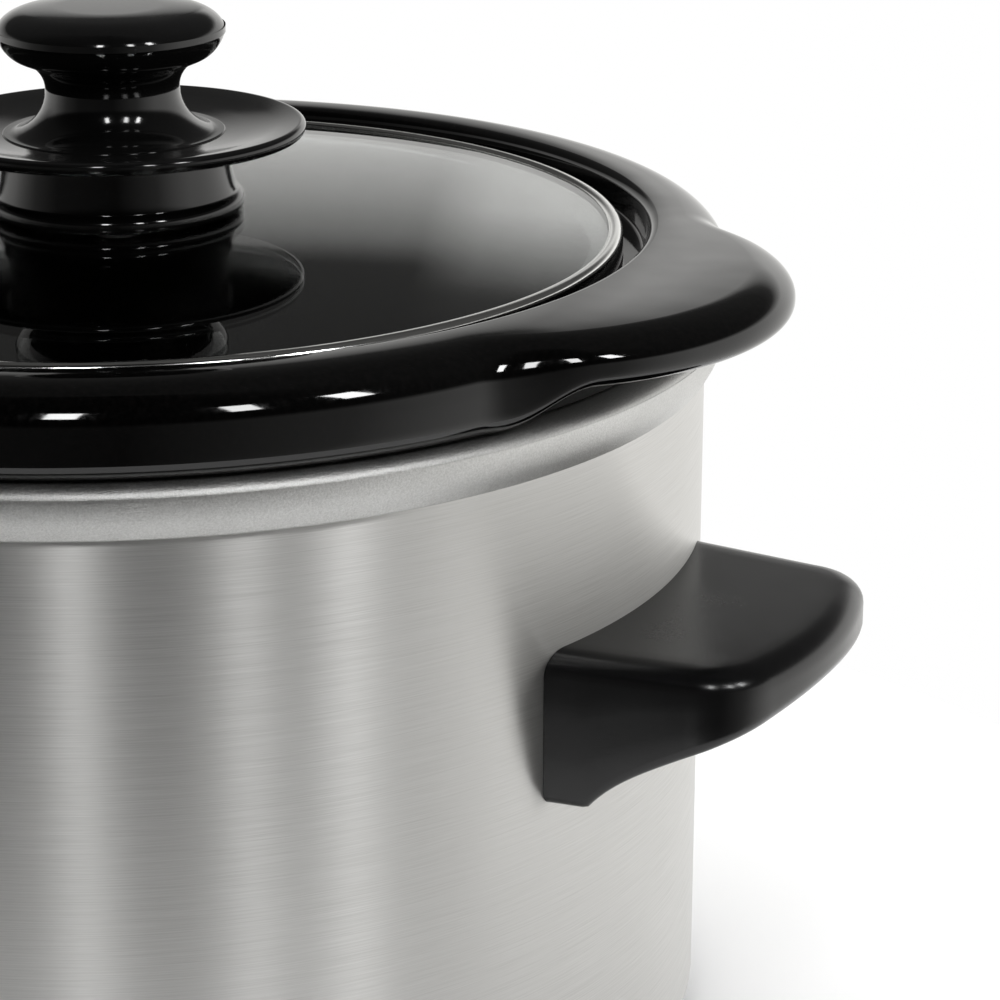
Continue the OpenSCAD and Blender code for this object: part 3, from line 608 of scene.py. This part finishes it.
def make_stage_floor(radius=0.26, count=128):
    """A round pale table top; beyond it the backdrop takes over."""
    mesh = bpy.data.meshes.new("floor")
    mesh.from_pydata([(radius * math.cos(TAU * k / count), radius * math.sin(TAU * k / count), 0)
                      for k in range(count)], [], [tuple(range(count))])
    floor = bpy.data.objects.new("floor", mesh)
    scene.collection.objects.link(floor)
    s = Shader("floor_pale", (0.93, 0.93, 0.93), 0.6)
    cloud = s.noise(s.coords(), 3, 2, 0.5)
    s.drive(s.ramp(cloud, [(0.3, (0.92, 0.92, 0.92)), (0.7, (0.94, 0.94, 0.94))]), "Base Color")
    mesh.materials.append(s.mat)


def soft_light(name, where, target, size_x, size_y, power):
    data = bpy.data.lights.new(name, "AREA")
    data.shape = "RECTANGLE"
    data.size, data.size_y = size_x, size_y
    data.energy = power
    lamp = bpy.data.objects.new(name, data)
    scene.collection.objects.link(lamp)
    lamp.location = where
    lamp.rotation_mode = "QUATERNION"
    lamp.rotation_quaternion = (Vector(target) - Vector(where)).to_track_quat("-Z", "Y")
    return lamp


CAMERA_AZIMUTH = math.radians(33)
TOWARDS = Vector((math.sin(CAMERA_AZIMUTH), -math.cos(CAMERA_AZIMUTH), 0))
RIGHTWARDS = Vector((math.cos(CAMERA_AZIMUTH), math.sin(CAMERA_AZIMUTH), 0))


def studio_world():
    """White backdrop behind the object, and a darker studio in front of it."""
    world = bpy.data.worlds.new("studio")
    scene.world = world
    world.use_nodes = True
    tree = world.node_tree
    tree.nodes.clear()

    def node(kind, **values):
        made = tree.nodes.new(kind)
        for key, value in values.items():
            setattr(made, key, value)
        return made

    def math_node(operation, a, b=None):
        made = node("ShaderNodeMath", operation=operation)
        for slot, value in enumerate((a, b)):
            if value is None:
                continue
            if isinstance(value, (int, float)):
                made.inputs[slot].default_value = value
            else:
                tree.links.new(value, made.inputs[slot])
        return made.outputs[0]

    def along(vector, direction):
        made = node("ShaderNodeVectorMath", operation="DOT_PRODUCT")
        tree.links.new(vector, made.inputs[0])
        made.inputs[1].default_value = direction
        return made.outputs["Value"]

    def ramp_of(value, low, high, stops):
        """A grey level that follows stops given in the value's own units."""
        made = node("ShaderNodeValToRGB")
        band = made.color_ramp
        while len(band.elements) < len(stops):
            band.elements.new(0.5)
        for element, (place, level) in zip(band.elements, stops):
            element.position = (place - low) / (high - low)
            element.color = (level, level * 0.996, level * 0.985, 1)
        span = node("ShaderNodeMapRange")
        span.inputs["From Min"].default_value = low
        span.inputs["From Max"].default_value = high
        tree.links.new(value, span.inputs["Value"])
        tree.links.new(span.outputs["Result"], made.inputs["Fac"])
        return made.outputs["Color"]

    def mix(kind, factor, a, b):
        made = node("ShaderNodeMix", data_type="RGBA", blend_type=kind)
        for socket, value in (("Factor", factor), ("A", a), ("B", b)):
            if isinstance(value, (int, float)):
                made.inputs[socket].default_value = value
            else:
                tree.links.new(value, made.inputs[socket])
        return made.outputs["Result"]

    where = node("ShaderNodeTexCoord").outputs["Generated"]
    front = along(where, TOWARDS)
    right = along(where, RIGHTWARDS)
    turn = math_node("MULTIPLY", math_node("ARCTAN2", right, front), 360 / TAU)
    split = node("ShaderNodeSeparateXYZ")
    tree.links.new(where, split.inputs[0])
    climb = math_node("MULTIPLY", math_node("ARCSINE", split.outputs["Z"]), 360 / TAU)

    # Walls by turn from the viewer, skylines by elevation, all as (degrees, level).
    walls = ramp_of(turn, -180, 180, [
        (-180, 1.0), (-115, 1.0), (-85, 0.3), (-60, 0.1), (0, 0.05), (15, 0.15), (40, 0.35),
        (60, 0.9), (75, 1.2), (110, 1.2), (180, 1.0)])
    low_skyline = ramp_of(climb, -90, 90, [
        (-90, 1.0), (4, 0.9), (12, 0.55), (16, 0.3), (18, 0.06), (90, 0.06)])
    high_skyline = ramp_of(climb, -90, 90, [
        (-90, 1.0), (13, 1.0), (17, 0.47), (20, 0.1), (24, 0.06), (90, 0.06)])
    beside = ramp_of(turn, -180, 180, [
        (-180, 0), (-130, 0), (-110, 1), (0, 1), (171, 1), (173, 0), (180, 0)])
    mixed = mix("MULTIPLY", 1.0, walls, mix("MIX", beside, low_skyline, high_skyline))

    room = node("ShaderNodeBackground")
    room.inputs["Strength"].default_value = 1.0
    tree.links.new(mixed, room.inputs["Color"])
    seen = node("ShaderNodeBackground")
    seen.inputs["Color"].default_value = (1, 1, 1, 1)
    seen.inputs["Strength"].default_value = 1.0
    path = node("ShaderNodeLightPath")
    choose = node("ShaderNodeMixShader")
    tree.links.new(path.outputs["Is Camera Ray"], choose.inputs["Fac"])
    tree.links.new(room.outputs[0], choose.inputs[1])
    tree.links.new(seen.outputs[0], choose.inputs[2])
    out = node("ShaderNodeOutputWorld")
    tree.links.new(choose.outputs[0], out.inputs["Surface"])


make_stage_floor()
studio_world()


def from_view(front, right, up):
    """A point given by its distances towards the viewer, to the viewer's right and up."""
    return TOWARDS * front + RIGHTWARDS * right + Vector((0, 0, up))


LAMP_AIM = 0.12


def lamp_towards(name, turn, height, wide, tall, radiance, distance=1.6):
    """A rectangular lamp at a turn round the object from the viewer's side, both in degrees."""
    a, e = math.radians(turn), math.radians(height)
    flat = distance * math.cos(e)
    where = from_view(flat * math.cos(a), flat * math.sin(a), LAMP_AIM + distance * math.sin(e))
    size_x = 2 * distance * math.tan(math.radians(wide / 2))
    size_y = 2 * distance * math.tan(math.radians(tall / 2))
    power = radiance * math.pi * size_x * size_y
    return soft_light(name, where, (0, 0, LAMP_AIM), size_x, size_y, power)


fill = soft_light("overhead", from_view(-0.3, 0.1, 1.7), (0, 0, 0), 2.0, 2.0, 42)
fill.visible_glossy = False
LAMPS = (("lamp_left", -12, 24), ("lamp_middle", 22, 20), ("lamp_right", 44, 25))
for name, turn, radiance in LAMPS:
    lamp_towards(name, turn, height=40, wide=5, tall=12, radiance=radiance)


# ------------------------------------------------------------------ camera

CAMERA_AWAY, CAMERA_ABOVE_LID = 0.6367, 0.1576
LENS_MM, SENSOR_MM = 114.56, 36


def make_camera():
    """Pinhole view of the right-hand side of the lid plane, from the front and above."""
    lid_plane = GLASS_EDGE + 0.2
    place = from_view(CAMERA_AWAY, 0.0, CAMERA_ABOVE_LID + lid_plane * MM)
    yaw, pitch, roll = 0.1228, 0.3308, 0.0013
    look = (-TOWARDS * math.cos(yaw) + RIGHTWARDS * math.sin(yaw)) * math.cos(pitch) \
        + Vector((0, 0, -math.sin(pitch)))
    right = RIGHTWARDS * math.cos(yaw) + TOWARDS * math.sin(yaw)
    up = right.cross(look)
    across = right * math.cos(roll) + up * math.sin(roll)
    upward = up * math.cos(roll) - right * math.sin(roll)
    data = bpy.data.cameras.new("camera")
    data.sensor_width = SENSOR_MM
    data.lens = LENS_MM
    data.clip_start, data.clip_end = 0.01, 100
    camera = bpy.data.objects.new("camera", data)
    scene.collection.objects.link(camera)
    turn = Matrix((across, upward, -look)).transposed()
    camera.matrix_world = Matrix.Translation(place) @ turn.to_4x4()
    scene.camera = camera


make_camera()
scene.view_settings.view_transform = "Standard"
scene.view_settings.look = "None"
scene.cycles.use_denoising = True
scene.cycles.max_bounces = 16
scene.cycles.transmission_bounces = 12
scene.cycles.glossy_bounces = 8
